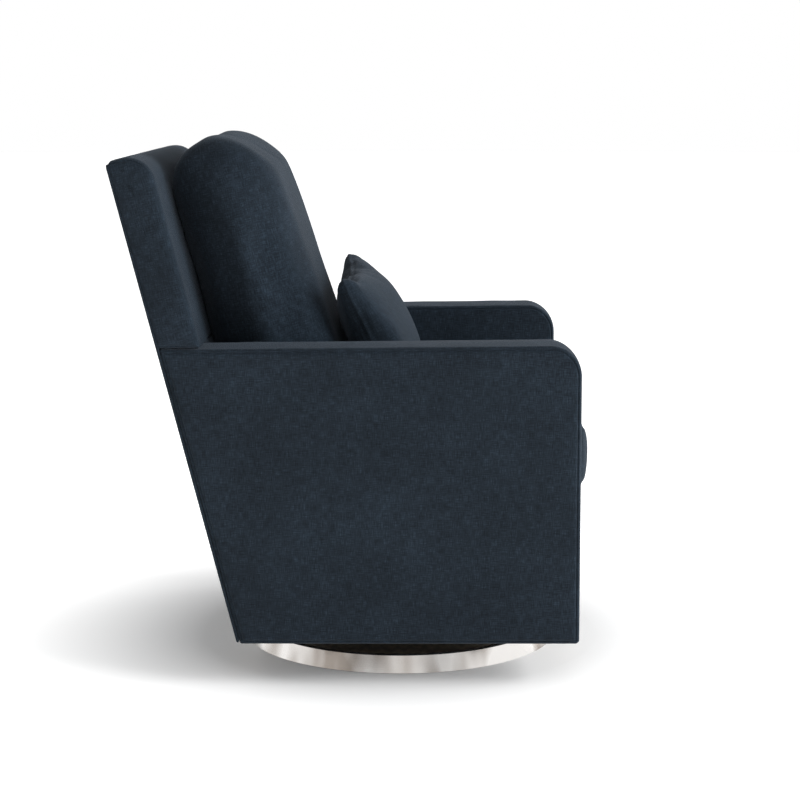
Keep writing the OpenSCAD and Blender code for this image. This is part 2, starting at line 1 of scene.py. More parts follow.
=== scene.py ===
# %% [markdown]
# # An upholstered glider chair
# A nursery glider is a timber box covered in padded cloth. It stands on a round steel-banded base,
# turns on a ball race and swings on four short links. Three loose-looking cushions finish it.
# The hard parts come ready-made from the CAD model. This lesson adds what CAD does badly:
# soft forms, seams, cloth and light.
# %% Load the chair's frame
import json
import bpy
import numpy as np
from mathutils import Matrix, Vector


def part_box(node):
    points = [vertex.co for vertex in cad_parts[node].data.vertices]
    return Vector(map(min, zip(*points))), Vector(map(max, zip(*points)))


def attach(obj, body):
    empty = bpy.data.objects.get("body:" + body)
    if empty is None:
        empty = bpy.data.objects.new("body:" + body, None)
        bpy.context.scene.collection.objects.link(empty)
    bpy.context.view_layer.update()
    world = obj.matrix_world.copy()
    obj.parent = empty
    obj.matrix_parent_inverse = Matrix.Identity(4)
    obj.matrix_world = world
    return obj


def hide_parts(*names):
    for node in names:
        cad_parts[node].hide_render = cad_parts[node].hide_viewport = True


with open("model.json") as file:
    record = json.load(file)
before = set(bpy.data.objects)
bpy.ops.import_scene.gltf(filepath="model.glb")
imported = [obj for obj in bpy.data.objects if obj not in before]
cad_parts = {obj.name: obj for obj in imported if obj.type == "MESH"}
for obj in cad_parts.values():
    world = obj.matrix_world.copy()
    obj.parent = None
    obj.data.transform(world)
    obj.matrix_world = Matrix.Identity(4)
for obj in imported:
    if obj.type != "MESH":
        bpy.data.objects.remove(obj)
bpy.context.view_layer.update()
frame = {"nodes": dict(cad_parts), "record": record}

# %% [markdown]
# ## Sizes shared by every piece
# An upholsterer works from the frame outwards, so each size below is read from the frame's boxes.
# Shapes are worked out in millimetres, because cloth and seams are easier to picture that way,
# and are turned into metres when a mesh is made.
# %% Read the frame's sizes
def box_mm(node):
    """Lowest and highest corner of a CAD node, in millimetres."""
    low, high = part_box(node)
    return np.array(low) * 1000, np.array(high) * 1000

arm_low, arm_high = box_mm("arm_cover_left")
outer_x, inner_x = arm_high[0], arm_low[0]
body_z, front_y = arm_low[2], arm_low[1]
arm_w = outer_x - inner_x
deck_low, deck_high = box_mm("seat_deck")
seat_low, seat_high = box_mm("seat_cushion_cover")
_, panel_high = box_mm("outside_back_panel")
print("arm", arm_w, "wide, front at", front_y, "underside at", body_z)

# %% [markdown]
# ## The back's own frame
# The back leans, so its pieces are easier to draw upright and then lean over.
# In the back's frame `a` runs forward-to-rear square to its face and `b` runs up its slope.
# A turn about X by the rake angle, at the lower rear edge, puts a point where it belongs.
# %% Lean a point with the back
rake = np.radians(14.5)
rear_edge = np.array([304.0, body_z])
back_height = (panel_high[2] - body_z) / np.cos(rake)
back_face = -80.0  # where the front of the back lies, 80 mm forward of its rear

def lean(a, b):
    """World y and z of a point a, b in the back's frame: a turn by the rake, then a move."""
    y = rear_edge[0] + a * np.cos(rake) + b * np.sin(rake)
    return y, rear_edge[1] - a * np.sin(rake) + b * np.cos(rake)

def level(z, a):
    """The height b up the slope at which a line square to the face, at a, meets world height z."""
    return (z - rear_edge[1] + a * np.sin(rake)) / np.cos(rake)

def arm_top(y):
    """World height of the arm's top at y: it falls one millimetre in a hundred to the rear."""
    return arm_high[2] - 0.01 * (y + 277)

def arm_level(a):
    """The height b up the slope at which the back, at a, stands on the arm's top."""
    b = level(arm_top(400), a)
    for _ in range(3):
        b = level(arm_top(lean(a, b)[0]), a)
    return b

print("back's length up its slope", round(float(back_height), 1))

# %% [markdown]
# ## Helpers: an outline, a form, a mesh
# Every panel here has four sides with rounded corners. Moving each side inwards by the same
# amount gives a smaller outline with the same number of points, so outlines join into a skin.
# A skin runs from one face's outline, over the side strip, to the other face's outline.
# Each face is filled with a grid blended from its four sides, which leaves no pole to pinch.
# %% The outline of a padded panel
def outline(corners, radii, inset, counts, bends):
    """Four-sided outline with rounded corners, set in by inset.
    Each side moves inwards along its normal, and each corner is an arc whose radius shrinks by
    the same amount. It starts at the middle of corner 0's arc. counts are the steps from one
    corner's middle to the next, and bends the odd number of points on each arc."""
    p = np.asarray(corners, float)
    way = np.roll(p, -1, 0) - p
    way /= np.linalg.norm(way, axis=1)[:, None]
    inward = np.stack([-way[:, 1], way[:, 0]], 1)
    base, last = p + inset * inward, np.array([3, 0, 1, 2])
    cross = way[last, 0] * way[:, 1] - way[last, 1] * way[:, 0]
    gap = base - base[last]
    reach = (gap[:, 0] * way[:, 1] - gap[:, 1] * way[:, 0]) / cross
    corner = base[last] + reach[:, None] * way[last]
    half = np.arccos(np.clip(-(way[last] * way).sum(1), -1, 1)) / 2
    r = np.maximum(np.asarray(radii, float) - inset, 1.2)
    tangent = (r / np.tan(half))[:, None]
    middle = way - way[last]
    middle /= np.linalg.norm(middle, axis=1)[:, None]
    centre = corner + middle * (r / np.sin(half))[:, None]
    start, end = corner - way[last] * tangent, corner + way * tangent
    runs = []
    for i in range(4):
        j, turn = (i + 1) % 4, np.pi - 2 * half[i]
        f = np.linspace(0, 1, bends[i])[bends[i] // 2:, None]
        first = centre[i] + (np.sin((1 - f) * turn) * (start[i] - centre[i])
                             + np.sin(f * turn) * (end[i] - centre[i])) / np.sin(turn)
        turn = np.pi - 2 * half[j]
        g = np.linspace(0, 1, bends[j])[:bends[j] // 2 + 1, None]
        second = centre[j] + (np.sin((1 - g) * turn) * (start[j] - centre[j])
                              + np.sin(g * turn) * (end[j] - centre[j])) / np.sin(turn)
        steps = counts[i] - bends[i] // 2 - bends[j] // 2
        s = np.linspace(0, 1, steps + 1)[1:-1, None]
        runs.append(np.concatenate([first, end[i] + s * (start[j] - end[i]), second[:-1]]))
    return np.concatenate(runs)

# %% A face blended from its four sides
def fill_face(rim, p, q):
    """Grid of (p + 1) by (q + 1) points inside a closed rim: the mean of the two ways of
    drawing straight lines across between opposite sides, less the part counted twice."""
    low, right = rim[:p + 1], rim[p:p + q + 1]
    high, left = rim[p + q:2 * p + q + 1][::-1], np.concatenate([rim[2 * p + q:], rim[:1]])[::-1]
    u, v = np.linspace(0, 1, p + 1)[:, None, None], np.linspace(0, 1, q + 1)[None, :, None]
    return ((1 - v) * low[:, None] + v * high[:, None] + (1 - u) * left[None] + u * right[None]
            - (1 - u) * (1 - v) * low[0] - u * (1 - v) * low[-1]
            - (1 - u) * v * high[0] - u * v * high[-1])

def cells_of(grid):
    """The four corners of every cell in a grid of point numbers."""
    return np.stack([grid[:-1, :-1], grid[:-1, 1:], grid[1:, 1:], grid[1:, :-1]],
                    -1).reshape(-1, 4)

# %% A closed padded form
def padded_form(rim, profile, p, q, near=0.0, far=0.0, power=6):
    """A closed skin as (points, quads, row of each point).
    rim(inset) is the outline, and profile rows are (inset, depth) from the near face's edge over
    the strip to the far face's edge. near and far are how far each face swells at its middle:
    the swelling is 1 less the distance from the middle to a power, so it is flat, then falls."""
    rings = [rim(d) for d, _ in profile]
    n, rows = len(rings[0]), len(profile)
    u, v = np.linspace(-1, 1, p + 1)[:, None], np.linspace(-1, 1, q + 1)[None]
    swell = (1 - np.abs(u) ** power) * (1 - np.abs(v) ** power)
    faces = []
    for k, height in ((0, -near), (rows - 1, far)):
        flat = fill_face(rings[k], p, q)
        faces.append(np.dstack([flat, profile[k][1] + height * swell]).reshape(-1, 3))
    strip = np.array([np.column_stack([rings[k], np.full(n, profile[k][1])])
                      for k in range(1, rows - 1)]).reshape(-1, 3)
    points = np.concatenate([faces[0], strip, faces[1]])
    grid = np.arange((p + 1) * (q + 1)).reshape(p + 1, q + 1)
    edge = np.concatenate([grid[:p, 0], grid[p, :q], grid[p:0:-1, q], grid[0, q:0:-1]])
    cells = cells_of(grid)
    offset = grid.size + strip.shape[0]
    loops = np.concatenate([edge[None], grid.size + np.arange((rows - 2) * n).reshape(-1, n),
                            offset + edge[None]])
    nxt = np.roll(loops, -1, 1)
    band = np.stack([loops[:-1], nxt[:-1], nxt[1:], loops[1:]], -1).reshape(-1, 4)
    row = np.concatenate([np.zeros(grid.size), np.repeat(np.arange(1, rows - 1), n),
                          np.full(grid.size, rows - 1)])
    return points, np.concatenate([cells, band, cells[:, ::-1] + offset]), row

# %% Put points and faces into a mesh
def outward(points, quads):
    """The quads, turned round if the volume that they enclose comes out negative."""
    a, b, c, d = (points[quads[:, i]] for i in range(4))
    volume = (np.einsum("ij,ij->i", a, np.cross(b, c)) + np.einsum("ij,ij->i", a, np.cross(c, d)))
    return quads if volume.sum() > 0 else quads[:, ::-1]

def place_object(name, data):
    """A new object at the origin, linked to the scene."""
    made = bpy.data.objects.new(name, data)
    bpy.context.scene.collection.objects.link(made)
    return made

def make_piece(name, points, quads, material, body):
    """A smooth mesh piece from points in millimetres, riding on a body of the frame."""
    mesh = bpy.data.meshes.new(name)
    quads = outward(points, quads)
    mesh.vertices.add(len(points))
    mesh.vertices.foreach_set("co", np.ascontiguousarray(points / 1000, dtype=np.float32).ravel())
    mesh.loops.add(quads.size)
    mesh.loops.foreach_set("vertex_index", np.ascontiguousarray(quads, dtype=np.int32).ravel())
    mesh.polygons.add(len(quads))
    mesh.polygons.foreach_set("loop_start", np.arange(0, quads.size, 4, dtype=np.int32))
    mesh.polygons.foreach_set("use_smooth", np.ones(len(quads), dtype=bool))
    mesh.update(calc_edges=True)
    mesh.validate()
    piece = place_object(name, mesh)
    mesh.materials.append(material)
    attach(piece, body)
    print(f"{name}: {len(points)} points, {len(quads)} faces")
    return piece

# %% [markdown]
# ## Thread direction
# Woven cloth has two sets of threads, and a panel is cut so that they run up and across it.
# A UV map records that. Each face takes the two directions that it faces least, measured in
# metres in the panel's own frame, so the weave keeps its real size and stays straight.
# %% Lay the threads on a piece
def lay_threads(piece, turn=0.0):
    """UV map "threads" in metres. turn leans the thread frame about X, in radians."""
    mesh = piece.data
    co = np.empty(len(mesh.vertices) * 3, np.float32)
    mesh.vertices.foreach_get("co", co)
    normal = np.empty(len(mesh.polygons) * 3, np.float32)
    mesh.polygons.foreach_get("normal", normal)
    corner = np.empty(len(mesh.loops), np.int32)
    mesh.loops.foreach_get("vertex_index", corner)
    c, s = np.cos(turn), np.sin(turn)
    to_panel = np.array([[1, 0, 0], [0, c, -s], [0, s, c]])
    co, normal = co.reshape(-1, 3) @ to_panel.T, normal.reshape(-1, 3) @ to_panel.T
    total = np.empty(len(mesh.polygons), np.int32)
    mesh.polygons.foreach_get("loop_total", total)
    facing = np.repeat(np.abs(normal).argmax(1), total)
    across, along = np.array([1, 0, 0])[facing], np.array([2, 2, 1])[facing]
    at = co[corner]
    uv = np.stack([at[np.arange(len(at)), across], at[np.arange(len(at)), along]], 1)
    layer = mesh.uv_layers.new(name="threads")
    layer.data.foreach_set("uv", np.ascontiguousarray(uv, dtype=np.float32).ravel())

# %% [markdown]
# ## Small irregularities
# Foam and wadding are never perfectly even. A few long sine waves in fixed random directions
# give a gentle unevenness that is the same on each run.
# %% Gentle unevenness
def uneven(x, y, seed, length=160.0):
    """Sum of seven sine waves of about that length in millimetres, scaled to about -1 to 1."""
    rng = np.random.default_rng(seed)
    total = np.zeros(np.shape(x))
    for _ in range(7):
        angle, phase = rng.uniform(0, np.pi), rng.uniform(0, 2 * np.pi)
        k = 2 * np.pi / (length * rng.uniform(0.6, 1.7))
        total += np.sin(k * (np.cos(angle) * x + np.sin(angle) * y) + phase)
    return total / 3.5

def smooth(x):
    """0 below 0, 1 above 1, and a smooth step between."""
    x = np.clip(x, 0, 1)
    return x * x * (3 - 2 * x)

# %% [markdown]
# ## Colours and a node helper
# Paint charts and screens give sRGB colours, while shaders work with linear light.
# One function turns a hex value into linear numbers, and one function adds any node,
# sets its properties and fills or links its sockets.
# %% Colour and node helpers
def colour(hex_code):
    """Linear red, green, blue and alpha of an sRGB hex colour."""
    s = np.array([int(hex_code[i:i + 2], 16) / 255 for i in (1, 3, 5)])
    linear = np.where(s <= 0.04045, s / 12.92, ((s + 0.055) / 1.055) ** 2.4)
    return (*linear.tolist(), 1.0)

def add(tree, kind, sockets=None, **settings):
    """Adds one node, sets its properties, and fills or links its sockets."""
    made = tree.nodes.new("ShaderNode" + kind)
    for key, value in settings.items():
        setattr(made, key, value)
    for key, value in (sockets or {}).items():
        if isinstance(value, bpy.types.NodeSocket):
            tree.links.new(value, made.inputs[key])
        else:
            made.inputs[key].default_value = value
    return made

def new_material(name):
    """An empty node material and its tree."""
    material = bpy.data.materials.new(name)
    material.use_nodes = True
    material.node_tree.nodes.clear()
    return material, material.node_tree

def finish_material(tree, sockets):
    """Adds the Principled shader with those sockets, and the output."""
    shader = add(tree, "BsdfPrincipled", sockets)
    add(tree, "OutputMaterial", {"Surface": shader.outputs["BSDF"]})

def shades(tree, factor, *stops):
    """Colour ramp from (place, hex) stops."""
    ramp = add(tree, "ValToRGB", {"Fac": factor})
    row = ramp.color_ramp.elements
    row[0].position, row[0].color = stops[0][0], colour(stops[0][1])
    row[1].position, row[1].color = stops[-1][0], colour(stops[-1][1])
    for place, code in stops[1:-1]:
        row.new(place).color = colour(code)
    return ramp.outputs["Color"]

# %% [markdown]
# ## Upholstery cloth
# The cover is a hard-wearing plain weave in deep navy, made to look like linen: yarns of uneven
# thickness, called slubs, make short streaks along both thread directions, and brushing leaves
# a soft nap that lightens at grazing angles. The real yarns are about 0.8 mm apart, too fine
# to see on a whole chair, so they are drawn 2.2 mm apart with slubs 15 to 30 mm long.
# The streaks and weave read the thread map, and broad cloudiness reads the object's place.
# %% Woven navy upholstery
def woven_navy(name, dark="#0D141A", mid="#182028", light="#293540"):
    """The tone is slubs both ways multiplied, with two sizes of cloudiness added. The relief is
    two crossing sine waves a yarn apart, and the slubs."""
    material, t = new_material(name)
    threads = add(t, "UVMap", uv_map="threads").outputs["UV"]
    place = add(t, "TexCoord").outputs["Object"]
    across = add(t, "Mapping", {"Vector": threads, "Scale": (60, 760, 1)}).outputs["Vector"]
    along = add(t, "Mapping", {"Vector": threads, "Scale": (760, 60, 1)}).outputs["Vector"]
    streak = [add(t, "TexNoise", {"Vector": v, "Scale": 1.0, "Detail": 2.0, "Roughness": 0.6})
              for v in (across, along)]
    slub = add(t, "Math", {0: streak[0].outputs["Fac"], 1: streak[1].outputs["Fac"]},
               operation="MULTIPLY").outputs[0]
    cloud = add(t, "TexNoise", {"Vector": place, "Scale": 9.0, "Detail": 3.0}).outputs["Fac"]
    patch = add(t, "TexNoise", {"Vector": place, "Scale": 60.0, "Detail": 4.0}).outputs["Fac"]
    tone = add(t, "Math", {0: cloud, 1: 0.16, 2: slub}, operation="MULTIPLY_ADD").outputs[0]
    tone = add(t, "Math", {0: patch, 1: 0.12, 2: tone}, operation="MULTIPLY_ADD").outputs[0]
    base = shades(t, tone, (0.25, dark), (0.4, mid), (0.58, light))
    yarn = 2 * np.pi / 0.0022
    uv = add(t, "SeparateXYZ", {0: threads})
    wave = []
    for axis in ("X", "Y"):
        turns = add(t, "Math", {0: uv.outputs[axis], 1: yarn}, operation="MULTIPLY").outputs[0]
        wave.append(add(t, "Math", {0: turns}, operation="SINE").outputs[0])
    weave = add(t, "Math", {0: wave[0], 1: wave[1]}, operation="MULTIPLY").outputs[0]
    relief = add(t, "Math", {0: slub, 1: 3.0, 2: weave}, operation="MULTIPLY_ADD").outputs[0]
    bump = add(t, "Bump", {"Height": relief, "Strength": 0.35, "Distance": 0.0005})
    finish_material(t, {"Base Color": base, "Roughness": 0.88, "Specular IOR Level": 0.18,
                        "Sheen Weight": 0.14, "Sheen Roughness": 0.45,
                        "Sheen Tint": colour("#B9C8DA"), "Normal": bump.outputs["Normal"]})
    return material

navy_cloth = woven_navy("navy_linen_weave")

# %% Put the cloth on a piece
def upholster(name, points, quads, replaced=(), turn=0.0, body="chair"):
    """A padded piece in navy cloth: its mesh, its threads, and the CAD nodes it stands for."""
    piece = make_piece(name, points, quads, navy_cloth, body)
    lay_threads(piece, turn)
    if replaced:
        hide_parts(*replaced)
    return piece

# %% [markdown]
# ## Metal, wood, rubber and inner cloth
# The band is stainless steel, polished and then wiped round with a fine abrasive, which leaves
# faint lines round it. Mechanism parts are black powder coat or zinc plate. The frame's timber
# is plain sawn beech and birch plywood, and the cloths inside are plain and black.
# %% Polished steel band
def steel(name, base, rough, lines, stretch=(6, 6, 900), dark_reflection=None):
    """Bare or plated steel: fine lines from noise drawn out along the wiping direction.
    dark_reflection is a second colour, in broad soft streaks: painted darker reflection on the
    polished steel."""
    material, t = new_material(name)
    place = add(t, "TexCoord").outputs["Object"]
    drawn = add(t, "Mapping", {"Vector": place, "Scale": stretch}).outputs["Vector"]
    noise = add(t, "TexNoise", {"Vector": drawn, "Scale": 1.0, "Detail": 3.0}).outputs["Fac"]
    smear = add(t, "TexNoise", {"Vector": place, "Scale": 14.0, "Detail": 2.0}).outputs["Fac"]
    roughness = add(t, "MapRange", {"Value": smear, 1: 0.3, 2: 0.7,
                                    3: rough * 0.8, 4: rough * 1.25})
    bump = add(t, "Bump", {"Height": noise, "Strength": lines, "Distance": 0.00002})
    broad = add(t, "Mapping", {"Vector": place, "Scale": (13, 13, 4)}).outputs["Vector"]
    broad = add(t, "TexNoise", {"Vector": broad, "Scale": 1.0, "Detail": 1.5}).outputs["Fac"]
    # The broad streaks carry painted reflection: where they fall, the colour dims towards the
    # second colour.
    finish_material(t, {"Base Color": shades(t, broad, (0.38, dark_reflection or base), (0.56, base)),
                        "Metallic": 1.0, "Roughness": roughness.outputs["Result"],
                        "Normal": bump.outputs["Normal"]})
    return material

# The band's second colour is painted reflection: its darker streaks stand in for dim things
# mirrored in the steel.
polished_band = steel("polished_stainless_steel", "#F2EFEC", 0.16, 0.5, dark_reflection="#A39A92")
ground_steel = steel("ground_bearing_steel", "#C2C2C0", 0.28, 0.4)
zinc_plate = steel("zinc_plated_steel", "#A9ABAE", 0.38, 0.3, stretch=(300, 300, 300))
spring_wire = steel("oil_tempered_spring_wire", "#7E7C79", 0.42, 0.3, stretch=(200, 200, 200))

# %% Coated, moulded and rubber parts
def coated(name, base, rough, grain_mm, strength):
    """Paint, plastic or rubber with a fine even texture of about that grain."""
    material, t = new_material(name)
    place = add(t, "TexCoord").outputs["Object"]
    scale = 1000 / grain_mm
    grain = add(t, "TexNoise", {"Vector": place, "Scale": scale, "Detail": 2.0}).outputs["Fac"]
    wear = add(t, "TexNoise", {"Vector": place, "Scale": 22.0, "Detail": 4.0}).outputs["Fac"]
    base_tone = np.array(colour(base))
    ramp = add(t, "ValToRGB", {"Fac": wear})
    ramp.color_ramp.elements[0].color = (*(base_tone[:3] * 0.8), 1)
    ramp.color_ramp.elements[1].color = (*(base_tone[:3] * 1.25), 1)
    roughness = add(t, "MapRange", {"Value": wear, 3: rough - 0.06, 4: rough + 0.06})
    bump = add(t, "Bump", {"Height": grain, "Strength": strength, "Distance": grain_mm / 4000})
    finish_material(t, {"Base Color": ramp.outputs["Color"],
                        "Roughness": roughness.outputs["Result"],
                        "Normal": bump.outputs["Normal"]})
    return material

powder_coat = coated("black_powder_coat", "#1B1C1E", 0.45, 1.6, 0.3)
rubber = coated("moulded_rubber", "#171717", 0.75, 2.0, 0.25)
nylon = coated("moulded_nylon", "#202124", 0.5, 2.4, 0.2)
zip_tape = coated("nylon_zip", "#14171B", 0.5, 3.0, 0.6)
foam_core = coated("cut_foam", "#E4DAB4", 0.95, 1.6, 0.8)

# %% Timber and board
def wood(name, dark, light, rough, grain, scale, strength=0.15, coat=0.0):
    """Wood grain: noise drawn out along the board bends a set of bands, as growth rings do."""
    material, t = new_material(name)
    place = add(t, "TexCoord").outputs["Object"]
    long = add(t, "Mapping", {"Vector": place, "Scale": grain}).outputs["Vector"]
    rings = add(t, "TexWave", {"Vector": long, "Scale": scale, "Distortion": 6.0, "Detail": 3.0,
                               "Detail Scale": 1.5}).outputs["Fac"]
    pores = add(t, "TexNoise", {"Vector": long, "Scale": scale * 14, "Detail": 4.0}).outputs["Fac"]
    tone = add(t, "Math", {0: pores, 1: 0.6, 2: rings}, operation="MULTIPLY_ADD").outputs[0]
    tone = add(t, "Math", {0: tone, 1: 0.65}, operation="MULTIPLY").outputs[0]
    bump = add(t, "Bump", {"Height": pores, "Strength": strength, "Distance": 0.0004})
    finish_material(t, {"Base Color": shades(t, tone, (0.1, dark), (0.9, light)),
                        "Roughness": rough, "Coat Weight": coat, "Coat Roughness": 0.2,
                        "Normal": bump.outputs["Normal"]})
    return material

ebonised_board = wood("ebonised_birch_board", "#4A4139", "#756959", 0.4, (1, 6, 6), 6.0, 0.1, 0.25)
birch_ply = wood("birch_plywood", "#B9925E", "#DDC08F", 0.7, (1, 1, 6), 9.0)
sawn_beech = wood("sawn_beech", "#A97B4D", "#CDA070", 0.75, (2, 2, 1), 12.0)

# %% Felt, webbing and black inner cloth
def inner_cloth(name, dark, light, yarn_mm, strength):
    """Plain woven or pressed cloth: two crossing waves a yarn apart, and fuzz from noise."""
    material, t = new_material(name)
    place = add(t, "TexCoord").outputs["Object"]
    at = add(t, "SeparateXYZ", {0: place})
    wave = [add(t, "Math", {0: add(t, "Math", {0: at.outputs[axis], 1: 2000 * np.pi / yarn_mm},
                                   operation="MULTIPLY").outputs[0]},
                operation="SINE").outputs[0] for axis in ("X", "Y")]
    weave = add(t, "Math", {0: wave[0], 1: wave[1]}, operation="MULTIPLY").outputs[0]
    fuzz = add(t, "TexNoise", {"Vector": place, "Scale": 400.0, "Detail": 4.0}).outputs["Fac"]
    height = add(t, "Math", {0: fuzz, 1: 2.0, 2: weave}, operation="MULTIPLY_ADD").outputs[0]
    bump = add(t, "Bump", {"Height": height, "Strength": strength, "Distance": 0.0005})
    finish_material(t, {"Base Color": shades(t, fuzz, (0.3, dark), (0.7, light)),
                        "Roughness": 0.95, "Sheen Weight": 0.2, "Specular IOR Level": 0.2,
                        "Normal": bump.outputs["Normal"]})
    return material

# Felt has no yarns: its long waves only make it a little uneven.
wool_felt = inner_cloth("pressed_wool_felt", "#26282A", "#3A3C3E", 30.0, 0.3)
cambric = inner_cloth("black_cambric", "#0D0E10", "#1D1F22", 2.0, 0.4)
deck_cloth = inner_cloth("black_deck_cloth", "#15181C", "#272B30", 2.4, 0.5)
jute_web = inner_cloth("jute_webbing", "#5F4A31", "#93764F", 3.0, 0.9)

# %% [markdown]
# ## Finish the frame's own parts
# The hard CAD parts already have the right shape, so they only need their finishes.
# Each one takes the material of its slot in the record.
# %% Give every CAD part its finish
finish_of = {
    "felt": wool_felt, "band_steel": polished_band, "base_board": ebonised_board,
    "bearing_steel": ground_steel, "cage_plastic": nylon, "frame_steel": powder_coat,
    "link_steel": zinc_plate, "bolt_steel": zinc_plate, "bumper_rubber": rubber,
    "plywood": birch_ply, "timber": sawn_beech, "webbing": jute_web,
    "spring_steel": spring_wire, "deck_cloth": deck_cloth, "cambric": cambric,
    "upholstery": navy_cloth, "foam": foam_core, "zip": zip_tape,
}
slot_of = {part["node"]: part["material_slot"] for part in frame["record"]["subparts"]}
for node, part in frame["nodes"].items():
    finish = finish_of[slot_of[node]]
    if part.material_slots:
        for place in part.material_slots:
            place.material = finish
    else:
        part.data.materials.append(finish)
print("finishes:", len(finish_of))

# %% [markdown]
# ## The arms
# A track arm is a plywood box under thin foam. Flat side panels are cut to the outline, and one
# long boxing strip runs up the front, round the corner and back along the top. The seam sits
# about 6 mm in from the edge and follows the outline. The form is a skin whose profile is that
# edge: panel, seam groove, rounded edge, strip, and the same on the inside.
# %% Arm outline and edge
def arm_outline(inset):
    """Side view of the arm: y to the rear and z up, set in by inset."""
    foot_y, _ = lean(-6, level(body_z, -6))
    head_y, head_z = lean(-6, arm_level(-6))
    corners = [(front_y, body_z), (foot_y, body_z), (head_y, head_z), (front_y, arm_top(front_y))]
    return outline(corners, (8, 5, 2, 58), inset, (92, 74, 92, 74), (7, 7, 5, 25))

edge = [(30, -0.9), (22, -0.9), (17, -0.8), (13.5, -0.6), (11.5, -0.3), (10, 0.1), (9, 0.6),
        (8.2, 1.5), (7.5, 2.5), (6.9, 2.8), (6.3, 2.5), (5.6, 1.9), (4.9, 1.7), (4.1, 1.9),
        (3.2, 2.5), (2.3, 3.4), (1.5, 4.6), (0.8, 6.1), (0.3, 7.8), (0.05, 9.6)]
across = [(-1.6 * np.sin(np.pi * (h - 9.6) / (arm_w - 19.2)), h)
          for h in np.linspace(9.6, arm_w - 9.6, 17)[1:-1]]
arm_profile = edge + across + [(d, arm_w - max(h, 0.4)) for d, h in edge[::-1]]

# %% Make both arms
def make_arm(name, side, seed, replaced):
    """One upholstered arm: side is -1 for the sitter's right and 1 for the left."""
    points, quads, row = padded_form(arm_outline, arm_profile, 92, 74)
    y, z, depth = points.T
    calm = smooth((340 - y) / 60)
    on_strip = (row > 18) & (row < len(arm_profile) - 19)
    groove = np.exp(-((row - 9) / 2.5) ** 2) + np.exp(-((len(arm_profile) - 10 - row) / 2.5) ** 2)
    pucker = 0.35 * groove * np.sin(2 * np.pi * (y + z) / 23 + 2 * np.sin((y - z) / 61))
    face = np.exp(-np.minimum(row, 12) / 8) * (row < 20)
    depth = depth - face * (0.8 * uneven(y, z, seed) + 0.4 * uneven(y, z, seed + 1, 70)) + pucker
    wave = on_strip * calm * 0.5 * uneven(y - z, depth, seed + 2, 110)
    world = np.column_stack([side * (outer_x - depth), y, z + wave * (z > 400)])
    upholster(name, world, quads, [replaced])

make_arm("arm_right_upholstery", -1, 11, "arm_cover_right")
make_arm("arm_left_upholstery", 1, 23, "arm_cover_left")

# %% [markdown]
# ## The back
# The back is a padded slab as wide as the chair. Its side panels show above the arms, and its
# front and top are one soft sheet rolled over the edges, with a seam that shows only over the
# top and down the rear. Below the arms' tops it narrows and goes down to the seat deck.
# %% Back slab
def back_outline(inset):
    """Side view of the slab in the back's frame: a to the rear, b up the slope."""
    top = back_height - 4
    corners = [(back_face, arm_level(back_face) + 0.6), (-4, arm_level(-4) + 0.6), (-4, top),
               (back_face, top)]
    return outline(corners, (4, 3, 9, 50), inset, (28, 56, 28, 56), (5, 5, 9, 29))

roll = [(34, -0.6), (26, -0.5), (20, -0.2), (16, 0.3), (13, 0.9), (10.5, 1.7), (8.6, 2.5),
        (7.4, 3.2), (6.6, 3.7), (6.0, 4.1), (5.4, 4.6), (4.7, 5.3), (3.8, 6.3), (2.8, 7.7),
        (1.9, 9.3), (1.1, 11.2), (0.5, 13.4), (0.1, 16)]
back_w = 2 * outer_x
between = [(0.0, h) for h in np.linspace(16, back_w - 16, 76)[1:-1]]
back_profile = roll + between + [(d, back_w - h) for d, h in roll[::-1]]
points, quads, row = padded_form(back_outline, back_profile, 28, 56)
a, b, w = points.T
last = len(back_profile) - 1
set_in = np.array([d for d, _ in back_profile])[row.astype(int)]
a = a + 0.75 * np.minimum(set_in, 10) * smooth((a + 34) / 22) * (row > 0) * (row < last)
from_side = np.minimum(row, last - row)
seamed = smooth((a - back_face - 12) / 12)
top_seam = np.exp(-((from_side - 8.5) / 1.6) ** 2) * np.maximum(seamed, smooth((b - 880) / 40))
side_sign = np.where(w < back_w / 2, 1, -1)
w = w + side_sign * top_seam * 1.7
panel = (from_side < 1) * 1.0 + (from_side >= 1) * np.exp(-from_side / 6)
w = w - side_sign * panel * (0.9 * uneven(a, b, 5, 120) * smooth((b - 560) / 60))
middle = smooth((from_side - 16) / 6)
top_rise = 0.8 * middle * smooth((b - back_height + 12) / 10) * (a > back_face + 6)
b = b + top_rise * (0.6 + 0.4 * uneven(w, a, 9, 140))
y, z = lean(a, b)
upholster("back_upholstery", np.column_stack([w - outer_x, y, z]), quads,
          ["back_cover"], rake)

# %% Lower front of the back, between the arms
def lower_back_outline(inset):
    """The panel between the arms in the back's frame, from the deck up into the slab."""
    front = back_face + 0.4
    corners = [(front, level(deck_high[2] + 0.4, front)), (-8, level(deck_high[2] + 0.4, -8)),
               (-8, arm_level(-8) - 1), (front, arm_level(front) - 1)]
    return outline(corners, (8, 3, 3, 3), inset, (18, 30, 18, 30), (5, 5, 5, 5))

narrow = 2 * (inner_x - 0.6)
soft = [(14, 0.0), (9, 0.4), (6, 1.2), (3.4, 2.6), (1.4, 4.8), (0.3, 7.6)]
lower = soft + [(0.0, h) for h in np.linspace(9, narrow - 9, 30)] + [
    (d, narrow - h) for d, h in soft[::-1]]
points, quads, row = padded_form(lower_back_outline, lower, 18, 30)
y, z = lean(points[:, 0], points[:, 1])
upholster("lower_back_upholstery", np.column_stack([points[:, 2] - narrow / 2, y, z]), quads,
          turn=rake)

